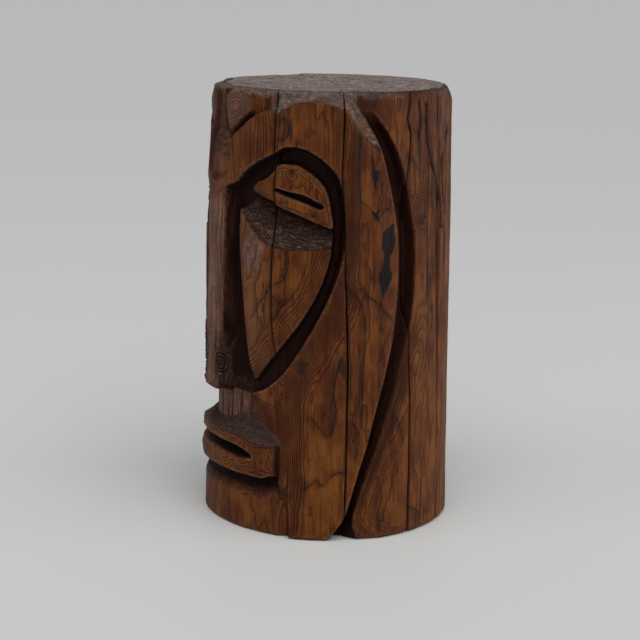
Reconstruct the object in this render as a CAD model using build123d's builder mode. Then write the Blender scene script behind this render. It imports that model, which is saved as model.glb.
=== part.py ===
"""Tiki figure: an upright log, 610 mm tall, carved in relief with a stylised face.

The face looks toward -Y, the figure's left side is +X, and the base stands on Z = 0.
Drying checks split the outer wood into staves around a sound heart core.
Carving is laid out by the angle round the log (0 = face centre, positive = figure's left) and height.
"""

import os
from math import cos, degrees, radians, sin

from build123d import *

# Log
HEIGHT = 610.0
BASE_RADIUS = 177.5
TOP_RADIUS = 167.0
BASE_EDGE = 6.0  # worn rounding of the bottom edge
RIM_EDGE = 8.0  # worn rounding of the top edge
CORE_RADIUS = 75.0  # sound wood inside the reach of the checks
CHECK_WIDTH = 2.4  # opening of a check at the surface; it closes to nothing at the core
REACH = 230.0  # past the surface everywhere, for cutting tools

# Depths of the carving below the surface of the log
SOCKET_DEPTH = 22.0
LID_DEPTH = 5.0
SLIT_DEPTH = 14.0
SHELF_DEPTH = 14.0
HAIR_DEPTH = 17.0
BROW_DEPTH = 7.0
PETAL_DEPTH = 9.0
CREST_DEPTH = 9.0
MOUTH_DEPTH = 24.0
CHEEK_PLANE_DEPTH = 2.0

# Outlines as (angle in degrees, height in mm), on the figure's left; the right side mirrors them
SOCKET = [
    (11, 470), (20, 487), (28, 512), (41, 528), (52, 537), (63, 523), (73, 495), (76, 420), (75, 385),
    (70, 345), (61, 302), (52, 262), (44, 230), (36, 207), (24, 204), (14, 235), (9, 300), (9, 400),
]
LIDS = [
    (29, 474), (35, 493), (42, 509), (52, 512), (60, 500), (67, 475), (70, 431), (60, 440), (42, 458),
]
BULGE = [
    (22.5, 446), (41, 441), (69, 424), (69, 400), (64, 350), (50, 283), (34, 218), (29, 250), (22, 375),
]
SHELF = [(22.5, 449), (32, 468), (42, 458), (60, 440), (70, 428), (69, 400), (41, 401), (30, 428)]
SLIT = [(42, 480), (57, 468), (64.5, 455), (64, 460), (57, 473), (42, 483)]
PETAL_GROOVE = [(13, 547), (22, 560), (32, 578), (29, 580), (20, 565), (13, 553)]
BROW_BAND = [(31, 615), (31, 580), (42, 578), (54, 595), (68, 592), (76, 585), (82, 598), (82, 615)]
HAIR_GROOVE = [
    (80, 593), (90, 552), (95, 505), (99.5, 450), (101.5, 400), (101, 325), (95.5, 250), (89, 165), (83, 100),
    (79, 50), (74, -5), (85, -5), (86, 60), (92, 125), (100, 200), (107, 270), (110.5, 350), (110.5, 400),
    (107, 450), (103, 505), (93, 560), (84, 600),
]
CREST = [
    (-9, 615), (-9, 555), (-14, 530), (-13, 492), (0, 478), (13, 492), (14, 530), (9, 555), (9, 615),
]
MOUTH = [(-32, 105), (-26, 120), (0, 122), (26, 120), (32, 105), (0, 109)]
SOCKET_FACING = 42  # angle of the plane each outline is drawn on
BROW_FACING = 55
HAIR_FACING = 93

# Turned recesses as (depth, height) profiles
PHILTRUM = [(0, 133), (3, 140), (25, 168), (25, 197), (0, 197)]
PHILTRUM_HALF_ANGLE = 47
CHIN = [(0, 86), (13, 78), (8, 52), (5, 0), (0, 0)]
CHIN_HALF_ANGLE = 51

# Staves as (name, start angle, end angle); the checks lie between them
STAVES = [
    ("left_temple_stave", 76.5, 107),
    ("left_hair_stave", 107, 132),
    ("left_back_stave", 132, 177),
    ("right_back_stave", 177, 224),
    ("right_hair_stave", 224, 256),
    ("right_temple_stave", 256, 287),
    ("right_eye_stave", 287, 327),
]
FRONT_START = 327 - 360
UPPER_CHECK = 41.5  # the check by the left eye, above the step
LOWER_CHECK = 51.0  # the check beside the chin, below the step
CHECK_STEP = 200.0
EYE_END = 76.5

# Branch knots as (name, angle, height, radius)
KNOTS = [
    ("upper_lid_knot", 50, 504, 4.0),
    ("lower_lid_knot", 60.5, 447, 3.0),
    ("nostril_knot", 9, 228, 6.0),
]
KNOT_LENGTH = 60.0


def log_radius(height):
    return BASE_RADIUS + (TOP_RADIUS - BASE_RADIUS) * height / HEIGHT


def facing_plane(angle):
    """Upright plane through the axis whose normal points outward at the angle."""
    turn = radians(angle)
    return Plane(origin=(0, 0, 0), x_dir=(cos(turn), sin(turn), 0), z_dir=(sin(turn), -cos(turn), 0))


def on_facing_plane(outline, facing, side):
    """Angles and heights as points of the facing plane."""
    return [
        (side * log_radius(height) * sin(radians(angle - facing)), height) for angle, height in outline
    ]


def pocket(outline, facing, depth, side=1, islands=()):
    """A recess of even depth inside an outline, leaving the islands standing."""
    with BuildPart(mode=Mode.PRIVATE) as recess:
        with BuildSketch(facing_plane(side * facing)):
            with BuildLine():
                Polyline(on_facing_plane(outline, facing, side), close=True)
            make_face()
            for island in islands:
                with BuildLine():
                    Polyline(on_facing_plane(island, facing, side), close=True)
                make_face(mode=Mode.SUBTRACT)
        extrude(amount=REACH)
        Cone(
            BASE_RADIUS - depth,
            TOP_RADIUS - depth,
            HEIGHT,
            align=(Align.CENTER, Align.CENTER, Align.MIN),
            mode=Mode.SUBTRACT,
        )
    add(recess.part, mode=Mode.SUBTRACT)


def turned_recess(profile, half_angle):
    """A recess turned about the axis of the log, centred on the face."""
    points = [(log_radius(height) - depth, height) for depth, height in profile]
    points.append((REACH, profile[-1][1]))
    points.append((REACH, profile[0][1]))
    start = radians(-half_angle)
    first = Plane(origin=(0, 0, 0), x_dir=(sin(start), -cos(start), 0), z_dir=(-cos(start), -sin(start), 0))
    with BuildPart(mode=Mode.PRIVATE) as recess:
        with BuildSketch(first):
            with BuildLine():
                Polyline(points, close=True)
            make_face()
        revolve(axis=Axis.Z, revolution_arc=2 * half_angle)
    add(recess.part, mode=Mode.SUBTRACT)


def ring_point(radius, angle):
    return (radius * sin(radians(angle)), -radius * cos(radians(angle)))


def wedge(start, end, bottom, top):
    """The wood between two checks, from the core outward."""
    half_opening = CHECK_WIDTH / 2 * (REACH - CORE_RADIUS) / (BASE_RADIUS - CORE_RADIUS)
    edge = degrees(half_opening / REACH)
    corners = [ring_point(CORE_RADIUS / 2, start), ring_point(CORE_RADIUS, start)]
    corners.append(ring_point(REACH, start + edge))
    corners.append(ring_point(REACH * 1.2, (start + end) / 2))
    corners.append(ring_point(REACH, end - edge))
    corners.append(ring_point(CORE_RADIUS, end))
    corners.append(ring_point(CORE_RADIUS / 2, end))
    with BuildPart(mode=Mode.PRIVATE) as wood:
        with BuildSketch(Plane.XY.offset(bottom)):
            Polygon(corners, align=None)
        extrude(amount=top - bottom)
    return wood.part


def knot_rod(angle, height, radius):
    """A branch stub lying along a radius, reaching past the surface."""
    start = log_radius(height) - KNOT_LENGTH
    with BuildPart(mode=Mode.PRIVATE) as rod:
        with BuildSketch(facing_plane(angle).offset(start)):
            with Locations((0, height)):
                Circle(radius)
        extrude(amount=REACH - start)
    return rod.part


os.makedirs("parts", exist_ok=True)

# The carved ring of outer wood, before it is divided at the checks
with BuildPart() as carved_ring:
    Cone(BASE_RADIUS, TOP_RADIUS, HEIGHT, align=(Align.CENTER, Align.CENTER, Align.MIN))
    fillet(carved_ring.edges().group_by(Axis.Z)[0], radius=BASE_EDGE)
    fillet(carved_ring.edges().group_by(Axis.Z)[-1], radius=RIM_EDGE)
    Cylinder(CORE_RADIUS, HEIGHT, align=(Align.CENTER, Align.CENTER, Align.MIN), mode=Mode.SUBTRACT)
    for side in (1, -1):
        pocket(SOCKET, SOCKET_FACING, SOCKET_DEPTH, side, islands=(LIDS, BULGE))
        pocket(LIDS, SOCKET_FACING, LID_DEPTH, side)
        pocket(BULGE, SOCKET_FACING, CHEEK_PLANE_DEPTH, side)
        pocket(SHELF, SOCKET_FACING, SHELF_DEPTH, side)
        pocket(SLIT, SOCKET_FACING, SLIT_DEPTH, side)
        pocket(PETAL_GROOVE, SOCKET_FACING, PETAL_DEPTH, side)
        pocket(BROW_BAND, BROW_FACING, BROW_DEPTH, side)
        pocket(HAIR_GROOVE, HAIR_FACING, HAIR_DEPTH, side)
    pocket(CREST, 0, CREST_DEPTH)
    pocket(MOUTH, 0, MOUTH_DEPTH)
    turned_recess(PHILTRUM, PHILTRUM_HALF_ANGLE)
    turned_recess(CHIN, CHIN_HALF_ANGLE)

# Branch knots, each loose in its own pocket
for name, angle, height, radius in KNOTS:
    with BuildPart() as knot:
        add(carved_ring.part)
        add(knot_rod(angle, height, radius), mode=Mode.INTERSECT)
    knot.part.label = name
    export_step(knot.part, f"parts/{name}.step")
with BuildPart() as pierced_ring:
    add(carved_ring.part)
    for name, angle, height, radius in KNOTS:
        add(knot_rod(angle, height, radius), mode=Mode.SUBTRACT)

# Heart of the log, sound through its whole height
with BuildPart() as heart_core:
    Cylinder(CORE_RADIUS, HEIGHT, align=(Align.CENTER, Align.CENTER, Align.MIN))
heart_core.part.label = "heart_core"
export_step(heart_core.part, "parts/heart_core.step")

# Front stave: crest, nose, mouth and chin; the check on its left steps sideways below the cheek
with BuildPart() as front_stave:
    add(wedge(FRONT_START, UPPER_CHECK, CHECK_STEP, HEIGHT))
    add(wedge(FRONT_START, LOWER_CHECK, 0, CHECK_STEP))
    add(pierced_ring.part, mode=Mode.INTERSECT)
front_stave.part.label = "front_stave"
export_step(front_stave.part, "parts/front_stave.step")

# Left eye stave: eyelids, cheek bulge and jaw
with BuildPart() as left_eye_stave:
    add(wedge(UPPER_CHECK, EYE_END, CHECK_STEP, HEIGHT))
    add(wedge(LOWER_CHECK, EYE_END, 0, CHECK_STEP))
    add(pierced_ring.part, mode=Mode.INTERSECT)
left_eye_stave.part.label = "left_eye_stave"
export_step(left_eye_stave.part, "parts/left_eye_stave.step")

# Remaining staves, full height
for name, start, end in STAVES:
    with BuildPart() as stave:
        add(wedge(start, end, 0, HEIGHT))
        add(pierced_ring.part, mode=Mode.INTERSECT)
    stave.part.label = name
    export_step(stave.part, f"parts/{name}.step")
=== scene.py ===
"""Tiki figure: a stained log carved with a stylised face, split by drying checks."""

import math

import bpy
import numpy as np
from mathutils import Matrix, Vector


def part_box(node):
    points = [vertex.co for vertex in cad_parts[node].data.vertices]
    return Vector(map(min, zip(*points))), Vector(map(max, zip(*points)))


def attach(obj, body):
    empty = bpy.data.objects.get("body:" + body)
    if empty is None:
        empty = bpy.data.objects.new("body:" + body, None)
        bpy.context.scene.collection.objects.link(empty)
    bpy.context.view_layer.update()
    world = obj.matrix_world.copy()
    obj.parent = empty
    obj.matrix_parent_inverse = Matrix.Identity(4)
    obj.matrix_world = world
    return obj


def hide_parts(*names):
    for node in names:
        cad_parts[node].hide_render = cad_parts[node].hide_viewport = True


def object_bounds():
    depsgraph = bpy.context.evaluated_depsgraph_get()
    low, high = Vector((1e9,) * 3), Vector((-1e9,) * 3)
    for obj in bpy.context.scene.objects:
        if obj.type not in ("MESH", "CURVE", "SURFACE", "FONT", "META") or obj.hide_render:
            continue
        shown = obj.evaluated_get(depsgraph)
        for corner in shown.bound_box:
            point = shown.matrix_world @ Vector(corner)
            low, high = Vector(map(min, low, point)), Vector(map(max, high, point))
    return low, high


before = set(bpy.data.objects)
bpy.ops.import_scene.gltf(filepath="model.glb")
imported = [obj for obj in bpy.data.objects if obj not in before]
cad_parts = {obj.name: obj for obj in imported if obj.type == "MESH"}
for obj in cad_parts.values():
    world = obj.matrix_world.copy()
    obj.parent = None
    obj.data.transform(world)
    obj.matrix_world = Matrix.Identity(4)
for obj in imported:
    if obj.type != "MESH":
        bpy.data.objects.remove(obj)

CAD_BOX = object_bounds()
LOW, HIGH = CAD_BOX
MM = 0.001
HEIGHT = (HIGH[2] - LOW[2]) / MM
BASE_R = (HIGH[0] - LOW[0]) / 2 / MM
TAPER = 10.5  # how much less the radius is at the top
CORE_R = (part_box("heart_core")[1][0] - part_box("heart_core")[0][0]) / 2 / MM
MEAN_R = 172
DEG = 3.02  # millimetres along the surface for a degree round the log
RING = 1.0  # growth ring pitch in mm
END_RINGS = 0.28  # ring lines for each mm across the saw-cut ends
SOCKET_DEEP = 21  # the depths below are all in mm under the skin of the log
HAIR_DEEP = 16.5
PETAL_GROOVE_DEEP = 10
SLIT_DEEP = 13
NOSE_HOLLOW_DEEP = 22
MOUTH_DEEP = 24
LIP_HOLLOW_DEEP = 18
KNOT_DEEP = 18
CHEEK_SWELL = 9  # how far the right cheek stands out, and how far the log is out of round there
OUT_OF_ROUND = 4
CREST_SIDE = 20  # degrees either side of the face centre that hold the crest


# ---- noise

_rng = np.random.default_rng(7)
_PERM = np.concatenate([_rng.permutation(256)] * 3)
_GRAD = _rng.normal(size=(256, 3))
_GRAD /= np.linalg.norm(_GRAD, axis=1)[:, None]


def noise(x, y, z, seed=0):
    """Gradient noise, about -0.7 to 0.7."""
    x, y, z = np.broadcast_arrays(x, y, z)
    xi, yi, zi = np.floor(x).astype(int), np.floor(y).astype(int), np.floor(z).astype(int)
    fx, fy, fz = x - xi, y - yi, z - zi
    u, v, w = (f * f * f * (f * (f * 6 - 15) + 10) for f in (fx, fy, fz))
    out = 0
    for dx in (0, 1):
        for dy in (0, 1):
            for dz in (0, 1):
                h = _PERM[(xi + dx + seed * 17) & 255]
                h = _PERM[h + ((yi + dy + seed * 31) & 255)]
                g = _GRAD[_PERM[h + ((zi + dz + seed * 7) & 255)]]
                dot = g[..., 0] * (fx - dx) + g[..., 1] * (fy - dy) + g[..., 2] * (fz - dz)
                out = out + dot * (u if dx else 1 - u) * (v if dy else 1 - v) * (w if dz else 1 - w)
    return out


def skin_noise(a, z, across, along, seed, octaves=2):
    """Noise over the log's skin: feature sizes in mm round the log and along it."""
    x, y = MEAN_R * np.sin(np.radians(a)), MEAN_R * np.cos(np.radians(a))
    total, gain = 0, 1.0
    for k in range(octaves):
        total = total + gain * noise(x / across, y / across, z / along, seed + k)
        across, along, gain = across / 2, along / 2, gain * 0.5
    return total


# ---- outlines

def smooth(a, b, x):
    t = np.clip((x - a) / (b - a), 0, 1)
    return t * t * (3 - 2 * t)


def rounded(points, times=2, closed=True):
    """Cuts the corners of an outline."""
    p = np.array(points, float)
    for _ in range(times):
        q = np.roll(p, -1, 0) if closed else p[1:]
        s = p if closed else p[:-1]
        cut = np.stack([0.78 * s + 0.22 * q, 0.22 * s + 0.78 * q], 1).reshape(-1, 2)
        p = cut if closed else np.vstack([p[:1], cut, p[-1:]])
    return p


def line_distance(a, z, line, reach=60.0):
    """Distance in mm from each point to an open line, capped at reach."""
    p = np.array(line, float) * (DEG, 1)
    px, pz = a * DEG, z
    out = np.full(a.shape, reach)
    near = (
        (px > p[:, 0].min() - reach) & (px < p[:, 0].max() + reach)
        & (pz > p[:, 1].min() - reach) & (pz < p[:, 1].max() + reach)
    )
    x, y = px[near], pz[near]
    best = np.full(x.shape, reach)
    for (x0, y0), (x1, y1) in zip(p[:-1], p[1:]):
        dx, dy = x1 - x0, y1 - y0
        t = np.clip(((x - x0) * dx + (y - y0) * dy) / max(dx * dx + dy * dy, 1e-9), 0, 1)
        best = np.minimum(best, np.hypot(x - x0 - t * dx, y - y0 - t * dy))
    out[near] = best
    return out


def inside(a, z, points):
    p = np.array(points, float)
    hit = np.zeros(a.shape, bool)
    for (x0, y0), (x1, y1) in zip(p, np.roll(p, -1, 0)):
        if y0 == y1:
            continue
        cross = (y0 > z) != (y1 > z)
        hit ^= cross & (a < (x1 - x0) * (z - y0) / (y1 - y0) + x0)
    return hit


def outline_distance(a, z, points):
    """Signed distance in mm to a closed outline, negative inside."""
    loop = np.vstack([points, points[:1]])
    d = line_distance(a, z, loop)
    return np.where(inside(a, z, points), -d, d)


# The carving on the figure's left as (degrees from the face centre, mm above the base)
SOCKET = rounded([
    (9.5, 474), (14, 480), (19, 484), (22, 492), (25, 500), (29, 509), (34, 518), (39, 524), (43, 531),
    (46, 537), (52, 538), (57, 535), (61, 529), (65, 521), (69, 511), (72, 500), (74, 486), (75, 470),
    (76, 450), (76.3, 425), (75.8, 400), (74.2, 380), (72, 360), (69.7, 342), (66.8, 322), (63.4, 303),
    (59.8, 284), (55.4, 263), (51.8, 246), (48.2, 231), (44.2, 217), (39.5, 206), (34, 199), (27, 193),
    (20, 190), (11, 190), (7.5, 205), (9.2, 240), (10.2, 300), (10.5, 350), (10.5, 400), (10.4, 440),
], 1)
LIDS = rounded([
    (26.5, 474), (28, 482), (31, 487), (34.5, 490), (38, 496), (40.5, 502), (41.5, 509), (44, 512.5),
    (48, 513.5), (52, 512.5), (55, 509), (58, 503.5), (61, 498), (64, 490), (66, 481), (67.5, 470),
    (68.5, 455), (69.5, 440), (69.7, 430), (68, 428.5), (65.5, 432), (61, 437.5), (56, 443), (50, 449),
    (45, 454), (41.5, 458), (40.5, 463), (37, 465), (33, 467), (29.5, 469),
], 1)
SLIT = rounded([
    (41, 480.5), (44, 479), (48, 476), (52, 475), (55.5, 473), (58.5, 469.5), (61, 465.5), (64, 461.5),
    (65.2, 458.5), (64, 455.5), (61, 458), (57.5, 462.5), (54, 466), (50, 469), (46, 472.5), (41, 477.5),
], 1)
BROW_OF_BULGE = [
    (69, 405), (60, 402), (50, 400.5), (42, 401.5), (40.5, 403), (36.5, 408), (32.5, 416), (28.5, 427),
    (25, 438), (21.5, 448),
]
BULGE = np.array([
    (21.5, 448), (21, 420), (21.4, 400), (22.3, 375), (23.7, 350), (25.1, 325), (26.6, 300), (28, 275),
    (29.2, 252), (30.3, 232), (31.3, 217), (32.6, 217.8), (35.2, 227.5), (39, 242), (43.4, 258), (48.4, 276),
    (53, 293), (57.3, 312), (61.6, 333), (64.8, 353), (67.4, 375), (68.8, 393),
] + BROW_OF_BULGE[:-1], float)
LID_UNDERSIDE = [
    (69.5, 430), (65.5, 432), (61, 437.5), (56, 443), (50, 449), (45, 454), (41, 459), (37, 465),
    (33, 467), (28.5, 471), (25, 460), (21.5, 449),
]
SHELF = np.array(LID_UNDERSIDE + [(21.5, 448)] + BROW_OF_BULGE[::-1][1:] + [(69.5, 415)], float)
HAIR_INNER = [
    (78, 600), (79.4, 592), (83.7, 574), (88.7, 551), (91.9, 530), (94.1, 507), (96.3, 482), (98.6, 452),
    (100.2, 425), (100.7, 400), (100.8, 350), (100.4, 325), (99.4, 300), (98.4, 276), (96.6, 250),
    (94.4, 222), (92.3, 200), (89.2, 165), (86.4, 130), (83.2, 100), (80.7, 72), (78.9, 52), (77.4, 36),
    (75, 24), (72, 12), (69, 2), (68, -6),
]
HAIR_OUTER = [
    (81.8, 606), (84.8, 596), (89.7, 579), (94.6, 560), (99.5, 537), (103.8, 507), (106.2, 480),
    (108.5, 450), (111, 420), (111.7, 390), (111.7, 350), (111, 325), (110, 300), (108.1, 270),
    (105.6, 248), (102, 205), (97.3, 165), (92.6, 128), (88.5, 97), (84.7, 62), (81.8, 34), (81.7, 20),
    (83.3, 9), (86, -6),
]
HAIR = np.array(HAIR_INNER + HAIR_OUTER[::-1], float)
PANEL_TOP = [
    (30, 586), (30.5, 580), (35, 575), (41, 580), (43, 578), (45, 585), (49, 590), (55, 596.5), (62, 597.5),
    (68, 592), (72, 590), (76, 583), (79, 570), (82, 557), (86, 544), (90, 534),
]
PETAL = [(9, 552), (7, 575), (7, 603), (13, 608), (21, 607), (25.5, 601), (27.5, 591), (26.5, 580),
    (23.5, 570), (19, 560), (13, 548)]
PETAL_GROOVE = [(12.5, 544), (15.5, 551), (20, 560), (25, 571), (30, 579), (33, 588)]
CREST_EDGE = [(8.5, 616), (8, 575), (9.5, 552), (13, 541), (14.2, 520), (13.6, 497), (10, 486), (0, 478)]
MOUTH_TOP = [(-34, 104.5), (-31, 112), (-27, 118), (-22, 120), (-10, 121), (2, 121.5), (12, 120.5),
    (22, 119.5),
             (26, 117.5), (29, 114.5), (31.5, 111), (33, 104.5)]
MOUTH_LOW = [(-34, 103.5), (-28, 100), (-20, 102), (-8, 104), (4, 104.5), (14, 102), (22, 100.5), (27, 101),
    (31.5, 104.5)]
BACK_RISE = [(-46, 10), (-30, 3), (-18, 0.5), (-3, 7), (8, 14), (16, 20), (27, 31), (36, 22), (46, 10)]
RIDGE = [(12.5, 541), (18, 553), (23.4, 563), (31, 573), (36, 578.5), (41.5, 577)]
LIP_EDGE = [(-46, 127), (-38, 127), (-28, 132), (-20, 136), (0, 132), (10, 133), (20, 136), (25, 134),
            (28, 131), (33, 128), (40, 126.5), (46, 127)]


CHECKS = {  # angle against height, and opening in mm against height
    "A": ([(41.3, 615), (41.3, 500), (41, 400), (40.8, 350), (41.2, 320), (41.8, 290), (42.4, 265),
        (43.4, 248),
           (46.5, 215), (49.5, 180), (50.6, 165), (50.8, 130), (50.7, 75), (51.2, 50), (51.5, -5)],
          [(0.8, 610), (2.4, 597), (2.2, 480), (2.3, 380), (1.5, 290), (0, 246), (0, 104), (1.2, 84),
              (2.8, 15)]),
    "B": ([(73.4, 615), (74.1, 575), (73.7, 530), (73.3, 500), (74.3, 465), (75.2, 420), (75.5, 365),
        (76.4, 335),
           (77, 290), (77.5, 240), (77.4, 100), (77, 40), (76.8, -5)],
          [(0.3, 610), (1.6, 597), (1.9, 560), (1.2, 500), (0.8, 430), (1.4, 360), (2.5, 300), (2.1, 150),
              (1, 20)]),
    "C": ([(106.2, 615), (106.3, 598), (105, 574), (107.2, 553), (106.7, 530), (106, 514), (104.8, 484),
        (105.8, 460), (107, 400), (107.7, 330), (108.5, 270),
           (109, 200), (109.4, 100), (109.1, 40), (109, -5)],
          [(0.4, 610), (2, 597), (1.8, 520), (1, 400), (1.6, 260), (2.2, 120), (2.4, 10)]),
    "D": ([(128.5, 615), (129.5, 520), (131, 450), (130.6, 400), (131.5, 300), (132, 150), (132.4, -5)],
          [(0.4, 610), (1.6, 597), (0.9, 300), (1.3, 10)]),
    "E": ([(175.5, 615), (177.5, 480), (176.2, 330), (178, 190), (176.6, -5)],
        [(0.8, 610), (2.8, 597), (2, 300), (1.4, 10)]),
    "F": ([(222.5, 615), (224.6, 430), (223.4, 260), (225, -5)],
        [(0.4, 610), (1.2, 597), (1.8, 260), (2.6, 10)]),
    "G": ([(255, 615), (256.8, 450), (255.6, 300), (256.6, 120), (255.4, -5)],
        [(0.6, 610), (2, 597), (1.5, 330), (1.2, 10)]),
    "I": ([(287.8, 615), (286.4, 470), (287.4, 300), (286.4, 120), (287, -5)],
        [(0.4, 610), (1.4, 597), (2, 350), (1.4, 10)]),
    "J": ([(327.6, 615), (326.2, 450), (327.4, 300), (326.6, 130), (327.2, -5)],
        [(0.6, 610), (1.8, 597), (1.4, 420), (2.2, 10)]),
}


def on_line(line, z):
    """The angle of a mostly upright line at each height."""
    p = np.array(sorted(line, key=lambda q: q[1]), float)
    return np.interp(z, p[:, 1], p[:, 0])


def at_angle(line, angle):
    """The height of a mostly level line at each angle."""
    p = np.array(line, float)
    return np.interp(angle, p[:, 0], p[:, 1])


def steps_over(a, z):
    """Smooth steps over the angle and over the height."""
    return lambda lo, hi: smooth(lo, hi, a), lambda lo, hi: smooth(lo, hi, z)


def half_face(a, z, cut):
    """Carves one side of the face into the fields of cut; a counts from the face centre outwards."""
    az, ht = steps_over(a, z)

    def lumps(*sizes_and_seed):
        return skin_noise(a, z, *sizes_and_seed)

    depth, rough, dark, figure = cut["depth"], cut["rough"], cut["dark"], cut["figure"]

    # Weathered band above the brow, sloping back to the rim, and down beside the hair groove
    edge = outline_distance(a, z,
        np.array(PANEL_TOP + [(90, 551), (85, 574), (80.5, 592), (79, 620), (30, 620)], float))
    above = az(38, 43) * az(84, 77)
    waves = lumps(34, 5, 33)
    depth = np.maximum(depth, above
        * (3.2 * smooth(0.8, -3, edge) + 10.5 * smooth(0, -24, edge) + 1.5 * waves * smooth(0, -4, edge)))
    ridge = az(74, 82) * smooth(0.9, -0.5, edge)
    depth = np.maximum(depth, ridge * (2.3 + 0.35 * lumps(9, 9, 34)))
    flecks = smooth(-0.15, 0.35, lumps(7, 4, 35))
    pale = 0.44 * above * smooth(0.5, -2.5, edge) * (0.9 + 1.2 * waves) + ridge * (0.08 + 0.22 * flecks)
    rough = np.maximum(rough, 0.35 * above * smooth(0.5, -2.5, edge))
    ramp = az(99, 80) * ht(540, 575) * (a > on_line(HAIR_INNER, z))
    depth = np.maximum(depth, 13 * ramp * ht(565, 600))
    figure += 11 * az(99, 82) * ht(545, 575) * (a > on_line(HAIR_INNER, z))

    # The forehead falls towards the checks
    brow = ht(490, 520) * ht(600, 585)
    past = a > on_line(CHECKS["B"][0], z)
    depth += (brow * (3.4 * az(29, 41) * (a < 41.3) + 1.6 * (a >= 41.3) * az(46, 41.5) + 2.6 * az(69, 73.6)
        * ~past))
    depth += 2.8 * az(81, 74) * past * ht(300, 380) * ht(590, 560)
    figure += brow * (3 * az(28, 41) * (a < 41.3) + 2 * az(66, 73.6) * ~past)

    # Petal above the brow: a dome with a sharp groove under it and a scoop beside it
    petal = outline_distance(a, z, rounded(PETAL, 1))
    lift = (z - at_angle(RIDGE, a)) * 0.8
    scoop = smooth(0, 6, lift) * (a > 12) * (a < 41.3) * (petal > 0)
    depth = np.maximum(depth, scoop * (5.6 + 3.4 * smooth(0, 16, petal) - 5 * az(33, 41)))
    depth = np.where(petal < 0, 0.4 + 5.4 * np.clip(1 + petal / 24, 0, 1) ** 1.7, depth)
    pale = np.maximum(pale, 0.12 * smooth(0, -3, petal))
    groove = line_distance(a, z, PETAL_GROOVE)
    v = np.clip(1 - groove / 6.5, 0, 1) * az(11, 14) * az(31, 24)
    depth += PETAL_GROOVE_DEEP * v
    # Painted shade in the groove under the petal
    dark = np.maximum(dark, 0.95 * smooth(0.12, 0.6, v))

    # Eye socket with its lids, shelf and cheek bulge left standing
    socket = outline_distance(a, z, SOCKET)
    lids = outline_distance(a, z, LIDS)
    bulge = outline_distance(a, z, BULGE)
    shelf = outline_distance(a, z, SHELF)
    wall = 6.5 + 3.5 * az(24, 12) * ht(210, 240) + 2.5 * az(60, 74) * ht(330, 420)
    floor = SOCKET_DEEP - 4 * ht(300, 220)
    nostril = 1.5 + 0.95 * np.clip(a - 6, 0, 30) + 1.2 * lumps(9, 7, 40)
    floor += (np.minimum(floor, nostril) - floor) * ht(268, 246) * az(27, 20)
    island = np.minimum(np.minimum(lids, bulge), shelf)

    right_edge = line_distance(a, z, BULGE[11:22])
    left_edge = line_distance(a, z, BULGE[:11])
    on_bulge = (1.8 + 8.5 * np.clip(1 - right_edge / 34, 0, 1) ** 1.7 + 1.6 * smooth(7, 0, left_edge)
        * ht(300, 420))
    on_bulge += 1.2 * smooth(18, 4, z - 217) + 0.8 * az(28, 23)
    up = line_distance(a, z, BROW_OF_BULGE)
    under = line_distance(a, z, LID_UNDERSIDE)
    rise = up / (up + under + 1e-6)
    on_shelf = 3 + 11.5 * rise ** 0.85 + 0.7 * lumps(16, 5, 50)
    lid_edge = np.abs(lids)
    on_lids = 4 + 3 * np.clip(1 - lid_edge / 11, 0, 1) ** 2 + 6 * az(41, 28)
    top = np.where((shelf < lids) & (shelf < bulge), on_shelf, np.where(lids < bulge, on_lids, on_bulge))
    inner_side = az(34, 29) * ht(440, 400)
    steep = np.where((lids < bulge) & (lids < shelf), 3.2, 3.8 + 2.6 * inner_side)
    away = np.clip(island / steep, 0, 1)
    carved = top + (floor - top) * away ** (0.7 + 0.4 * inner_side)
    carved = np.where(island <= 0, top, np.maximum(carved, top))
    mouth_of_socket = np.clip(-socket / wall, 0, 1)
    carved = carved * np.where(island < 0, np.clip(-socket / 3, 0, 1), smooth(0, 1, mouth_of_socket) ** 0.8)
    depth = np.where(socket < 0, np.maximum(carved, depth), depth)
    bank = np.clip(1 - socket / 46, 0, 1) ** 1.4 * ht(372, 310) * az(40, 52) * (socket > 0)
    shoulder = np.clip(1 - socket / 15, 0, 1) ** 1.3 * az(66, 73) * ht(340, 372) * ht(505, 480) * (socket > 0)
    depth += 9 * bank + 4 * shoulder
    sunk = np.maximum(9 * ht(372, 310) * az(40, 52), 4 * az(66, 73) * ht(340, 372) * ht(505, 480))
    depth = np.where((socket < 0) & (island > 0), np.maximum(depth, sunk + (depth > 0) * depth * 0.72), depth)
    slit = outline_distance(a, z, SLIT)
    depth += SLIT_DEEP * smooth(1.3, -1.3, slit) * (a > 39)
    # Painted shade in the slit between the lids
    dark = np.maximum(dark, smooth(1.4, 0.1, slit))
    step = (socket < 0) & (island > 0)
    nose_side = az(15, 10) * ht(270, 300)
    split = smooth(-0.05, 0.35, lumps(3.2, 90, 37)) * nose_side
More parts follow.
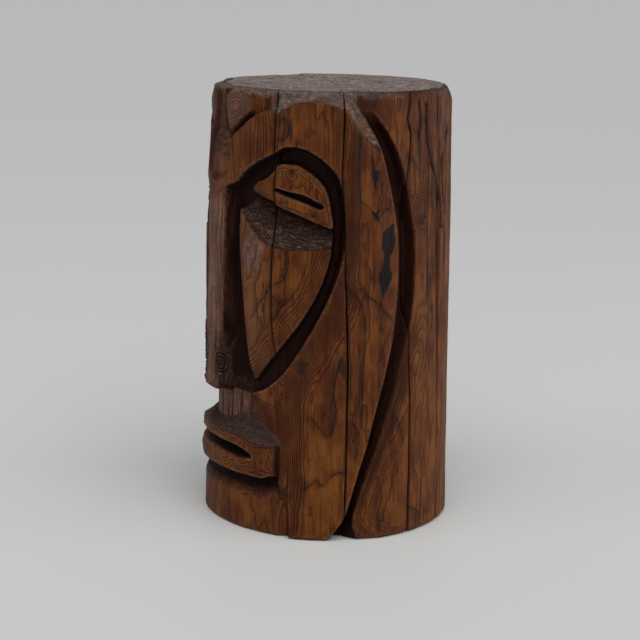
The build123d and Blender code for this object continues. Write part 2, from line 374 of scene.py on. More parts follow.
    # The socket floor round the lids, shelf and bulge is dark: stain in the groove together with painted
    # shade, growing with depth
    dark = np.maximum(dark, step * smooth(0.8 + sunk, 3.2 + sunk, depth) * (1 - 0.45 * split))
    depth += 1.6 * nose_side * step * lumps(3.2, 90, 37)
    centre = np.interp(z, [0, 190, 230, 262, 300, 340, 400, 560, 612],
        [51, 51, 54.5, 60.5, 68, 75, 79.3, 80, 80])
    spread = np.interp(z, [0, 190, 300, 400, 612], [9, 9, 8, 3.6, 3])
    figure += 2 * bank + 3 * shoulder + 10 * az(centre + spread, centre - spread)
    rough = np.maximum(rough, smooth(0.8, -0.8, shelf) * (lids > 0) * (bulge > -1.5))
    wing = smooth(278, 246, z + 10 * lumps(14, 20, 38)) * az(2, 7) * ht(188, 195) * (bulge > 0) * az(33, 27)
    rough = np.maximum(rough, 0.9 * wing)
    grain = lumps(7, 4, 44)
    out = np.hypot((a - 9) * DEG, (z - 228) * 0.85) + 1.2 * lumps(12, 12, 39)
    ripple = np.cos(out * 1.35) * smooth(18, 13, out)
    fibre = lumps(5, 34, 43, 2) * smooth(12, 17, out)
    beside = np.clip(0.2 - 0.85 * ripple - 2.2 * fibre, -0.6, 0.97)
    depth += wing * az(15, 12) * (1.6 * fibre - 0.9 * ripple)
    below = 0.66 + 0.3 * ht(208, 228) - 0.35 * smooth(0.05, 0.4, grain)
    # Painted shade beside and under the nostril, broken by pale grain lines
    nostril_shade = beside + (below - beside) * az(12, 16)
    nostril_shade += (0.97 - nostril_shade) * az(14, 17.5) * ht(205, 222)
    dark = np.where(wing > 0.02, dark * (1 - wing) + nostril_shade * wing, dark)
    on_top = (shelf < 0.3) * (lids > 0) * (bulge > 0)
    wavy = lumps(15, 3.4, 58, 2)
    # Painted shadow on the shelf, deepening towards the underside of the lids, over a darker wavy tone
    dark = np.maximum(dark, on_top * (0.14 + 0.75 * smooth(0.3, 0.95, rise) + 0.7 * wavy))
    figure += on_top * 2.5 * np.arctan2((a - 41) * DEG, z - 368)

    # Hair groove
    inner = line_distance(a, z, HAIR_INNER)
    outer = line_distance(a, z, HAIR_OUTER)
    within = inside(a, z, HAIR)
    width = inner + outer
    deep = (HAIR_DEEP + 7 * ht(90, 20)) * ht(612, 556) * np.clip(width / 19, 0.3, 1)
    low = ht(340, 230)
    across = inner / width
    shape = np.minimum(smooth(0, 0.24, across), smooth(0, 0.28 + 0.42 * low, 1 - across))
    hair = within * deep * shape
    start, stop = on_line(HAIR_INNER, z), on_line(HAIR_OUTER, z)
    t = (a - start) / np.maximum(stop - start, 0.5)
    figure += (8 * (np.clip(t, 0, 1) + 0.6 * low * (smooth(1, 1.7, t) - smooth(1.8, 3, t))) - 0.62
        * np.maximum(hair - depth, 0))
    depth = np.maximum(depth, hair)
    lean = 3.2 * smooth(26, 0, outer) * low * np.where(within, smooth(0.1, 0.7, across), a > start)
    depth += lean
    figure -= 0.8 * lean
    faint = (1.35 * low * smooth(0.3, 0.95, across) * ht(15, 70) + 0.6 * (1 - low) * smooth(0.4, 0.05, across)
        * ht(470, 400))
    # Stain and painted shade in the hair groove, and on its outer bank low down
    soaked_and_shaded = (within * smooth(0.3, 1.9, hair) * smooth(598, 566, z + 10 * across) * (1 - 0.06 * faint)
        * (0.88 + 0.12 * low))
    soaked_and_shaded = np.maximum(soaked_and_shaded, 0.6 * low * ht(15, 70) * smooth(20, 0, outer) * (a > (start + stop) / 2))
    dark = np.maximum(dark, soaked_and_shaded)
    # The bulge is a little paler on its left side and in a patch high on it
    pale_patch = np.hypot((a - 30) / 8, (z - 394) / 36) + 0.7 * lumps(14, 22, 36)
    pale += smooth(0, -4, bulge) * (0.05 * az(46, 30) + 0.13 * smooth(1, 0.5, pale_patch))
    # Painted highlight: the front of the nose is lightened in streaks
    pale += (0.1 + 0.2 * smooth(0, 0.4, lumps(3, 60, 35))) * az(10.5, 9) * ht(470, 440) * ht(186, 200)
    # Painted light on the shelf towards the brow of the bulge
    pale = np.maximum(pale, 0.12 * on_top * smooth(0.55, 0.2, rise))

    gold = 0.75 * smooth(0, -6, bulge) + 1 * smooth(0, -5, lids) - 0.3 * smooth(0, -6, edge)
    # Painted light: the jaw and the lower right side are made lighter low down
    gold += 0.22 * az(80, 86) * ht(300, 120) * (1 - within) + 0.5 * az(52, 60) * ht(200, 120) * az(78, 74)

    cut.update(depth=depth, rough=rough, dark=dark, figure=figure, gold=gold, pale=pale, bulge=bulge)
    return socket


def relief(angle, z):
    """Depth of the finished surface below the log's skin, and what was done to it."""
    angle = (angle + 180) % 360 - 180
    a = np.abs(angle)
    az, ht = steps_over(a, z)

    def lumps(*sizes_and_seed):
        return skin_noise(angle, z, *sizes_and_seed)

    cut = {key: np.zeros(a.shape) for key in ("depth", "rough", "dark", "figure")}
    socket = half_face(a, z, cut)
    depth, rough, dark, figure = cut["depth"], cut["rough"], cut["dark"], cut["figure"]

    # The log is out of round towards the right cheek, and swells there
    swell = (smooth(-1, -10, cut["bulge"]) * smooth(-72, -48, angle) * smooth(-18, -22, angle) * ht(217, 222)
        * ht(414, 400))
    depth -= CHEEK_SWELL * swell
    figure += CHEEK_SWELL * swell

    # Crest in the middle of the forehead
    crest = outline_distance(a, z, np.array(CREST_EDGE + [(-6, 478), (-6, 616)], float))
    hollow = smooth(1, -9, crest)
    depth = np.where(a < CREST_SIDE,
        np.maximum(depth * smooth(-10, -1, crest), (5.5 + 4 * ht(500, 560)) * hollow), depth)
    rough = np.maximum(rough, 0.55 * smooth(0.5, -3, crest) * ht(500, 530))

    # Nose
    nose = (a < 12) * ht(478, 455)
    depth += nose * 1.8 * (a / 9) ** 2 * (socket > 0)
    depth -= 2.6 * az(9.5, 4) * ht(330, 240) * (z > 180)
    t = np.clip((200 - z) / 14, 0, 1)
    depth += 9 * (1 - np.sqrt(1 - 0.97 * t * t)) * (z > 184) * az(12, 9)

    # Hollow between the nose and the lips, with the rough shelf of the upper lip
    lip = np.interp(angle, np.array(LIP_EDGE)[:, 0], np.array(LIP_EDGE)[:, 1])
    back = lip + at_angle(BACK_RISE, angle)
    fade = az(52, 26)
    folds = lumps(7.5, 110, 46) * az(46, 30)
    recess = NOSE_HOLLOW_DEEP * fade + 2 * az(60, 48) + 1.9 * folds
    shelf = ht(lip - 2.5, back + 2)
    roof = 187 + 10 * az(6, 12) + 4 * az(13, 26) - 8 * az(30, 40)
    roof_width = 1.5 + 9 * az(14, 30) + 38 * az(28, 46)
    under = ht(roof + 1.5, roof - roof_width)
    hollow = recess * shelf * under
    depth = np.where(a < 62, np.maximum(depth * (1 - (a < 49) * ht(200, 195) * az(49, 44)), hollow), depth)
    on_top = ht(lip - 1, lip + 2.5) * ht(back + 4, back - 3) * az(49, 45)
    rough = np.maximum(rough, on_top)
    inset = az(30, 24) * ht(back - 2, back + 4) * (z < roof)
    rough = np.maximum(rough, 0.25 * inset * smooth(-0.3, 0.3, folds))
    pale = np.maximum(cut["pale"], (0.15 - 0.2 * folds) * inset + 0.08 * on_top)
    dark = np.maximum(dark, 0.45 * inset * smooth(0.12, 0.5, folds))
    shadow = ht(roof - 6, roof - 1) * (z < roof + 1) * az(34, 26)
    dark = np.maximum(dark, 0.5 * shadow)

    # Lips with the mouth slot
    front = (z <= lip) & (z > 70)
    depth = np.where(front & (a < 46), depth + 0.3 + 1.2 * smooth(8, 0, lip - z) + 2.6 * ht(98, 80) + 0.9
        * lumps(18, 12, 48), depth)
    top, low = at_angle(MOUTH_TOP, angle), at_angle(MOUTH_LOW, angle)
    into = (top - z) / np.maximum(top - low, 0.5)
    open_slot = (np.minimum(smooth(-0.02, 0.1, into), smooth(1, 0.4, into)) * smooth(0.5, 5, top - low)
        * (np.abs(angle) < 36))
    depth += MOUTH_DEEP * open_slot
    # Painted shade inside the mouth slot
    dark = np.maximum(dark, smooth(0.03, 0.2, open_slot) * (0.55 + 0.45 * smooth(0.95, 0.75, into)))
    end = np.exp(-((a - 45.2) * DEG / 5) ** 2) * ht(66, 84) * ht(134, 122)
    cheek_ramp = az(61, 44) * az(43.5, 45.5) * ht(222, 176) * ht(30, 70)
    depth += 4 * end + 4.2 * cheek_ramp
    # Painted shade in the groove at each end of the lips
    dark = np.maximum(dark, 0.75 * smooth(0.25, 0.9, end))

    # Hollow under the lower lip, and the chin set back behind the cheeks
    lower = 79.5 + 5.5 * az(37, 44) - 14 * az(44.5, 48)
    chin = 6 * az(51.6, 50.4)
    soft = az(44.5, 48)
    undercut = ht(lower + 1.2 + 14 * soft, lower - 1.8 - 16 * soft)
    hollow = (LIP_HOLLOW_DEEP - 10 * ht(lower - 5, lower - 30)) * az(51.2, 42)
    below = undercut * np.maximum(hollow, chin + 4.5 * az(44, 50.2) * az(51.6, 50.6))
    depth = np.where((a < 52) & (z < 100), np.maximum(depth * (z > lower - 1), below), depth)
    streaky = 5 * lumps(22, 3, 49)
    # Painted shadow under the lower lip, with streaks
    dark = np.maximum(dark, ht(lower + 1.5, lower - 0.5) * smooth(lower - 25, lower - 13, z + streaky)
        * az(50, 44))
    rough = np.maximum(rough, 0.55 * ht(lower - 2, lower - 5) * ht(lower - 30, lower - 16) * az(48, 42))
    figure += 0.9 * streaky * ht(lower, lower - 8) * ht(lower - 34, lower - 20) * az(50, 44)

    # Chisel marks on the rough faces
    marks = lumps(11, 4.5, 60, 3)
    chiselled = np.maximum(rough, 0) * 1.7 * marks
    depth += chiselled
    figure -= 0.8 * chiselled

    # Hand-dressed skin: slow lumps all round, upright flutes on the natural sides
    wild = az(109, 121)
    depth += 1.1 * lumps(85, 150, 70) + 0.45 * lumps(24, 60, 72, 3)
    flutes = lumps(13, 240, 74, 3)
    upper = 0.2 + 0.8 * ht(200, 340)
    fluted = 4.6 * wild * np.clip(flutes, -0.3, 1)
    depth += 1.2 * wild + upper * fluted
    figure = figure - (upper - 0.4) * fluted + 0.5 * (1 - wild) * np.clip(lumps(9, 120, 77), 0, 1)
    valley = np.exp(-((a - on_line([(134, 610), (131, 500), (128.5, 430), (131, 300), (133, 0)], z))
        * DEG / 6) ** 2)
    valley = wild * 2.6 * valley * ht(200, 330)
    depth += valley
    figure -= valley
    stray = 0.5 * lumps(14, 22, 79)
    # Furrows in the natural side, sunk and darkened as painted shade
    for line in FURROWS:
        d = line_distance(angle + stray, z, line, 12)
        depth += 2.4 * np.exp(-((d / 2) ** 2))
        dark = np.maximum(dark, 0.85 * smooth(2.2, 0.5, d))

    girth = OUT_OF_ROUND * np.exp(-(((angle + 20) / 24) ** 2)) * ht(560, 440)
    girth = girth * (1 - 0.75 * ht(90, 100) * ht(142, 134))
    depth -= girth
    figure += girth

    # Worn bottom edge and rim
    foot = 7 - 3 * az(60, 40) + 3 * skin_noise(angle, z * 0, 60, 60, 80)
    t = np.clip(1 - z / foot, 0, 1)
    rounding = foot * (1 - np.sqrt(np.clip(1 - t * t, 0, 1)))
    depth += rounding
    figure -= 0.7 * rounding
    nick = skin_noise(angle, z * 0, 10, 60, 84, 3)
    corner = np.exp(-(((angle - 157) / 20) ** 2))
    far_corner = np.exp(-(((angle + 26) / 15) ** 2))
    back_step = smooth(-95, -93.5, angle) * smooth(-40, -70, angle)
    tall = 8 + 4 * skin_noise(angle, z * 0, 45, 60, 83) + 2.5 * nick + 12 * corner
    wide = (7.5 + 3 * skin_noise(angle, z * 0, 45, 60, 85) + 2.5 * nick + 2.5 * corner + 10 * far_corner + 10
        * back_step)
    t = np.clip(1 - (HEIGHT - z) / tall, 0, 1)
    depth += wide * (1 - np.sqrt(np.clip(1 - t * t, 0, 1))) * (1 - 0.5 * corner) + wide * 0.5 * corner * t
    worn = smooth(HEIGHT - 12, HEIGHT - 3, z + 7 * lumps(12, 8, 87))
    # Painted highlight on the raised flutes high on the natural side; the rim paleness is weathering
    raised = wild * ht(250, 400) * smooth(0.02, -0.25, flutes)
    pale = np.maximum(pale, (0.16 + 0.24 * az(95, 70)) * worn + 0.09 * raised)
    dark = np.where(dark < 0.3, dark - pale, dark)
    # Painted shade: the upper part of the natural right side is darkened
    dark += 0.13 * az(98, 106) * az(126, 118) * ht(300, 460) * (dark < 0.3)
    rough = np.maximum(rough, 0.5 * worn)
    # Painted light and shade: the natural right side is lighter low down and darker high up
    gold = cut["gold"] - 0.35 * wild * ht(300, 480) + 0.55 * wild * ht(330, 150)
    return depth, rough, dark, figure, gold


# ---- wood figure

# Dark resin lines, and one painted shadow line
RESIN_AND_SHADE_LINES = [
    [(25.4, 200.7), (29, 194), (32.4, 188.5), (36, 184)],
    # Painted shadow: the crevice where the back wall of the hollow meets the shelf of the upper lip
    [(16, 176), (19.3, 168), (23.7, 159), (27, 155)],
    [(55, 262), (57.5, 280), (60, 300)],
    [(43.9, 566), (45.5, 576), (47.3, 572), (48.8, 560), (48.3, 551), (46.5, 546), (44.4, 545)],
    [(81, 552), (80.6, 520), (80.8, 480), (81.5, 468), (85, 461), (87, 456), (88.5, 446), (90, 442),
        (91.8, 449), (93, 454), (96.5, 457), (96, 470)],
    [(75.6, 358), (78, 347), (81.5, 338), (84, 322), (85, 300), (84.5, 255), (84.3, 200), (83.3, 155),
        (82, 118)],
    [(83, 350), (86, 340), (90.5, 331), (94, 320), (97.5, 308)],
    [(61.5, 173), (64, 165), (67, 151), (69.5, 148), (71.5, 160), (72.6, 185), (71.2, 203), (71.2, 218),
        (73, 243), (75.5, 262)],
    [(59, 72), (62, 80), (64.5, 89), (66, 79), (68, 80), (70.5, 91), (73, 98), (77, 97)],
    [(30, 300), (33, 312), (35, 325), (38, 333), (40.5, 352)],
    [(43, 352), (47, 358), (49, 372), (49.5, 392), (48.5, 399)],
    [(42, 304), (45, 316), (49, 330), (52, 335)],
    [(105.5, 564), (111, 556), (113.5, 545), (113, 520), (114, 500)],
    [(105.8, 524), (110, 516), (112.5, 505)],
    [(92, 88), (93.6, 72), (94.6, 58), (93, 42), (92, 30), (93, 12)],
    [(100.5, 176), (103, 160), (105.5, 134)],
    [(109.5, 37), (114, 32), (117.5, 20), (117, 8)],
    [(57, 60), (56, 40), (56.5, 15)],
    [(112, 437), (115, 433), (118, 442)],
    [(117, 575), (120, 555), (122.5, 530), (124.5, 505), (125.5, 470)],
    [(118.5, 560), (119.5, 500), (120, 440), (120.8, 380), (122.5, 330)],
    [(127, 505), (129.5, 465), (127.5, 430), (126.5, 395), (128.5, 350), (131, 310)],
    [(136, 560), (134, 500), (131.5, 455)],
]
FURROWS = [
    [(117.6, 592), (118.3, 541), (122.4, 513), (128.5, 479), (132.8, 457), (133.5, 420)],
    [(139.9, 560), (133.8, 513), (134.8, 470), (137, 440)],
    [(112.4, 596), (113.5, 566), (112.6, 548)],
]
BLOTCH_SHAPES = [
    [(92.6, 425), (94.4, 431), (96.2, 433), (97.5, 438), (98.5, 433), (98.2, 424), (99, 415), (98.6, 404),
        (97.2, 397), (96.4, 392),
     (96.3, 383), (96.6, 374), (97.6, 369), (97.5, 359), (96, 353), (95.6, 346), (94.2, 343), (93.6,
         334), (92.7, 341), (92.2, 352),
     (91, 362), (91.2, 370), (92.6, 376), (93, 388), (93.4, 396), (92.2, 404), (92.3, 414)],
    [(87.2, 455), (88.6, 452), (90.4, 455), (90.1, 447), (89.3, 441), (88.3, 446)],
    [(86.5, 537), (87.6, 522), (88.2, 510), (89.7, 505), (90.1, 497), (89, 488), (88.6, 477), (87.6, 488),
     (87.3, 500), (87.1, 512), (86.5, 524)],
]
BLOTCHES = [  # angle, height, half width, half height, strength
    (56.5, 242, 2.8, 10, 0.62), (75, 244, 2, 13, 0.65), (82.5, 262, 1, 20, 0.4), (79, 225, 1.6, 40, 0.3),
    (31, 384, 3, 17, 0.35), (46, 330, 2.2, 9, 0.5), (113, 548, 1.5, 26, 0.5), (45, 392, 1.2, 9, 0.6),
    (93, 25, 1.6, 15, 0.4), (114, 22, 3.5, 12, 0.4), (27, 338, 1.6, 7, 0.4), (126, 35, 1.3, 14, 0.3),
    (49.4, 556, 1.3, 17, 0.75), (58, 556, 2.2, 7, 0.3), (60, 556, 1, 4, 0.4), (36, 590, 1.3, 7, 0.5),
]
KNOT_RINGS = [(9, 228, 11, 8), (50, 504, 5.5, 3), (60.5, 447, 5, 3), (115, 452, 13, 5), (36.5, 590, 6, 3)]


def wood_figure(angle, z, depth, figure):
    """Growth ring count at the surface, and the dark resin lines, one of them a painted shadow, and blotches.
    """
    a = (angle + 180) % 360 - 180
    warp = 1.9 * skin_noise(a, z, 62, 210, 90, 3) + 0.45 * skin_noise(a, z, 18, 50, 95, 2)
    ring = (depth + warp) / RING + figure
    for at, height, wide, count in KNOT_RINGS:
        ring = ring + count * np.exp(-((((a - at) * DEG) ** 2 + ((z - height) * 0.8) ** 2) / wide ** 2))
    ink = np.zeros(a.shape)
    patchy = 0.55 + 0.75 * skin_noise(a, z, 26, 40, 99)
    for line in RESIN_AND_SHADE_LINES:
        curve = rounded(line, 2, closed=False)
        wander = a + 0.16 * skin_noise(a, z, 12, 12, 97)
        d = line_distance(wander, z, curve, 12)
        beside = line_distance(wander + 0.9, z, curve, 12)
        ink = np.maximum(ink, np.clip(0.30 + patchy, 0.3, 0.85) * smooth(1.6, 0.2, d))
        ink = np.maximum(ink, np.clip(patchy, 0.1, 0.8) * 0.62 * smooth(7.5, 0.3, beside))
    blot = np.zeros(a.shape)
    wobble = skin_noise(a, z, 7, 14, 98)
    for shape in BLOTCH_SHAPES:
        d = outline_distance(a, z, np.array(shape, float)) + 1.5 * wobble
        blot = np.maximum(blot, smooth(0.8, -0.8, d))
    for at, height, wide, tall, strength in BLOTCHES:
        d = np.hypot((a - at) / wide, (z - height) / tall) + 0.8 * wobble
        blot = np.maximum(blot, strength * smooth(1.15, 0.55, d))
    return ring, ink, blot


# ---- staves

STAVES = {
    "front_stave": ("J", "A", 360, 1.15),
    "left_eye_stave": ("A", "B", 0, 1.15),
    "left_temple_stave": ("B", "C", 0, 1.2),
    "left_hair_stave": ("C", "D", 0, 1.4),
    "left_back_stave": ("D", "E", 0, 2.4),
    "right_back_stave": ("E", "F", 0, 2.4),
    "right_hair_stave": ("F", "G", 0, 1.8),
    "right_temple_stave": ("G", "I", 0, 1.25),
    "right_eye_stave": ("I", "J", 0, 1.25),
}


FIELDS = ("ring", "slope", "rough", "dark", "ink", "blot", "convexity", "gold")


def log_radius(z):
    return BASE_R - TAPER * z / HEIGHT


def at_point(radius, angle, z):
    t = np.radians(angle)
    return np.stack([radius * np.sin(t), -radius * np.cos(t), z + 0 * t], -1) * MM


def make_object(name, points, faces, sharp, attributes):
    mesh = bpy.data.meshes.new(name)
    mesh.from_pydata(points, [], faces)
    mesh.polygons.foreach_set("use_smooth", np.logical_not(sharp))
    for key in FIELDS:
        values = np.broadcast_to(attributes.get(key, 0.0), len(points))
        mesh.attributes.new(key, "FLOAT", "POINT").data.foreach_set("value", values.astype(np.float32))
    obj = bpy.data.objects.new(name, mesh)
    bpy.context.scene.collection.objects.link(obj)
    return obj


def cells(grid):
    """The corners of every cell in a grid of point numbers."""
    return np.stack([grid[:-1, :-1], grid[:-1, 1:], grid[1:, 1:], grid[1:, :-1]], -1).reshape(-1, 4)


def blurred(field, size):
    """Mean of the field over a square reaching size cells each way."""
    for axis in (0, 1):
        pad = [(size + 1, size) if k == axis else (0, 0) for k in (0, 1)]
        total = np.cumsum(np.pad(field, pad, mode="edge"), axis)
        count = total.shape[axis]
        ahead = np.take(total, range(2 * size + 1, count), axis)
        field = (ahead - np.take(total, range(count - 2 * size - 1), axis)) / (2 * size + 1)
    return field


def end_grain(radius, angle):
    """Waves that run round the rings of a weathered saw-cut end, about -0.7 to 0.7."""
    t = np.radians(angle)
    wave = noise(radius / 9.0, 2.6 * np.sin(t), 2.6 * np.cos(t), 21)
    return wave + 0.6 * noise(radius / 4.2, 5.5 * np.sin(t), 5.5 * np.cos(t), 22)


def eaten(radius, angle):
    """How far weathering has eaten into a saw-cut end, in mm."""
    x, y = radius * np.sin(np.radians(angle)), radius * np.cos(np.radians(angle))
    return (np.abs(0.9 * noise(x / 26, y / 26, 0 * x, 11)) + 1.6
        * np.clip(0.5 + end_grain(radius, angle), 0, 1.2))


def make_stave(name):
    first, last, turn, pitch = STAVES[name]
    rows = int(HEIGHT / pitch) + 1
    z = np.linspace(0, HEIGHT, rows)
    start = on_line(CHECKS[first][0], z) - turn
    end = on_line(CHECKS[last][0], z)
    radius = log_radius(z)
    gap_start = np.degrees(on_line(CHECKS[first][1], z) / 2 / radius)
    gap_end = np.degrees(on_line(CHECKS[last][1], z) / 2 / radius)
    columns = int(np.mean(end - start) * DEG / pitch) + 1
    u = np.linspace(0, 1, columns)
    wander = 0.10 * noise(z / 14, z * 0, z * 0, 5) + 0.22 * noise(z / 47, z * 0, z * 0, 6)
    lo = (start + gap_start + wander * (gap_start > 0.05))[:, None]
    hi = (end - gap_end + np.roll(wander, 3) * (gap_end > 0.05))[:, None]
    angle = lo + (hi - lo) * u
    zz = np.repeat(z[:, None], columns, 1)
    depth, rough, dark, figure, gold = relief(angle, zz)
    edge = np.minimum(u * columns, (1 - u) * columns)
    open_lo, open_hi = (gap_start > 0.05)[:, None], (gap_end > 0.05)[:, None]
    worn = np.where(u < 0.5, open_lo, open_hi) * np.exp(-edge / 0.8)
    depth = depth + 1.1 * worn
    ring, ink, blot = wood_figure(angle, zz, depth, figure)
    # How far each point stands above its surroundings: raised edges get rubbed pale wood with a painted
    # highlight, hollows get painted shade
    convexity = blurred(blurred(depth, int(2.4 / pitch)) - depth, 1)  # above zero on raised edges

    along = np.gradient(ring, axis=0) / pitch
    across = np.gradient(ring, axis=1) / (np.gradient(angle, axis=1) * DEG)
    slope = np.clip(np.hypot(along, across), 0.012, 3.0)

    points = [at_point(log_radius(zz) - depth, angle, zz).reshape(-1, 3)]
    fields = {k: [v.ravel()] for k,
        v in dict(ring=ring, slope=slope, rough=rough, dark=dark, ink=ink, blot=blot, convexity=convexity,
        gold=gold).items()}
    index = np.arange(rows * columns).reshape(rows, columns)
    faces, sharp = [], []

    def quads(grid, flip=False, flat=False):
        q = cells(grid)[:, ::-1] if flip else cells(grid)
        faces.extend(q.tolist())
        sharp.extend([flat] * len(q))

    def extra(grid_angle, grid_radius, grid_z, values):
        start_at = sum(len(p) for p in points)
        points.append(at_point(grid_radius, grid_angle, grid_z).reshape(-1, 3))
        for key in fields:
            fields[key].append(np.broadcast_to(values.get(key, 0.0), grid_angle.shape).ravel())
        return start_at + np.arange(grid_angle.size).reshape(grid_angle.shape)

    quads(index)
    surface = log_radius(zz) - depth
    edges = {}
    for end_name, column, at in (("lo", 0, start), ("hi", -1, end)):
        steps = np.linspace(0, 1, 6)[1:]
        r = surface[:, column][:, None] * (1 - steps) + CORE_R * steps
        ang = angle[:, column][:, None] * (1 - steps) + at[:, None] * steps
        zs = np.repeat(z[:, None], 5, 1)
        figure = (log_radius(zs) - r) / RING + ring[:, column][:, None] - depth[:, column][:, None] / RING
        # Painted shade: the walls inside each check are made dark
        inner = extra(ang, r, zs, dict(ring=figure, slope=1 / RING, dark=0.9, rough=0.3))
        grid = np.concatenate([index[:, column][:, None], inner], 1)
        quads(grid, flip=(end_name == "hi") is False, flat=True)
        edges[end_name] = grid
    span = np.linspace(0, 1, 9)[1:-1]
    ang = start[:, None] * (1 - span) + end[:, None] * span
    # Painted shade: the back faces deep in the checks are made dark
    back = extra(ang, np.full(ang.shape, CORE_R), np.repeat(z[:, None], 7, 1), dict(slope=1 / RING, dark=1.0))
    quads(np.concatenate([edges["lo"][:, -1:], back, edges["hi"][:, -1:]], 1), flip=True, flat=True)
    for cap_name, row in (("bottom", 0), ("top", -1)):
        steps = np.linspace(0, 1, 26)[1:]
        inner_angle = np.linspace(start[row], end[row], columns)
        outer_r, outer_a = surface[row], angle[row]
        mid = steps[:-1, None]
        r = outer_r * (1 - mid) + CORE_R * mid
        ang = outer_a * (1 - mid) + inner_angle * mid
        r = np.vstack([r, np.full(columns, CORE_R)])
        ang = np.vstack([ang, inner_angle])
        lift = np.zeros(r.shape)
        if cap_name == "top":
            inward = np.vstack([mid, [[1.0]]])
            rim_fade = smooth(0, 0.12, inward) * smooth(1.0, 0.93, inward)
            lift = -eaten(r, ang) * rim_fade * smooth(0, 3, np.minimum(u, 1 - u) * columns)
        figure = (ring[row] + END_RINGS * (outer_r - r) + 1.2 * end_grain(r / 3, ang)
            * smooth(0, 0.15, (outer_r - r) / outer_r))
        # Saw-cut ends are weathered pale; on the top this paleness also stands for painted light from above
        pale = -0.78 + 0.55 * end_grain(r, ang)
        inner = extra(ang, r, z[row] + lift, dict(ring=figure, slope=END_RINGS, rough=1.0, dark=pale))
        grid = np.concatenate([index[row][None, :], inner], 0)
        quads(grid, flip=cap_name == "bottom", flat=True)
    obj = make_object(name.replace("_stave", "_carving"), np.vstack(points), faces, sharp,
        {k: np.concatenate(v) for k, v in fields.items()})
    return obj


# ---- materials

EARLY_WOOD = [(0.34, (0.068, 0.0195, 0.0088)), (0.5, (0.110, 0.030, 0.008)), (0.66, (0.165, 0.052, 0.010))]
GREY_WOOD = [(0.28, (0.020, 0.0105, 0.008)), (0.5, (0.052, 0.030, 0.023)), (0.72, (0.140, 0.094, 0.078))]
BLEACHED_AND_HIGHLIT_WOOD = [(0.30, (0.160, 0.108, 0.090)), (0.50, (0.330, 0.262, 0.238)), (0.70, (0.600, 0.515, 0.482))]
LATE_WOOD, GREY_LATE, BLEACHED_AND_HIGHLIT_LATE = (0.015, 0.0048, 0.0028), (0.009, 0.0042, 0.0032), (0.070, 0.045, 0.036)
RING_TONE = (0.165, 0.049, 0.011)
RESIN_AND_SHADE_INK, BLOTCH, RUBBED_AND_HIGHLIGHT, KNOT_STAIN = (0.0105, 0.0058, 0.0048), (0.007, 0.0066, 0.0072), (0.235, 0.105,
    0.055), (0.020, 0.007, 0.004)
# Colours for stain in the wood, also used as painted shade in grooves, hollows and under overhangs
STAIN_AND_SHADE, STAIN_AND_SHADE_LATE, STAIN_AND_SHADE_STREAK = (0.016, 0.0024, 0.0012), (0.0022, 0.0003, 0.0002), (0.006, 0.001, 0.0006)


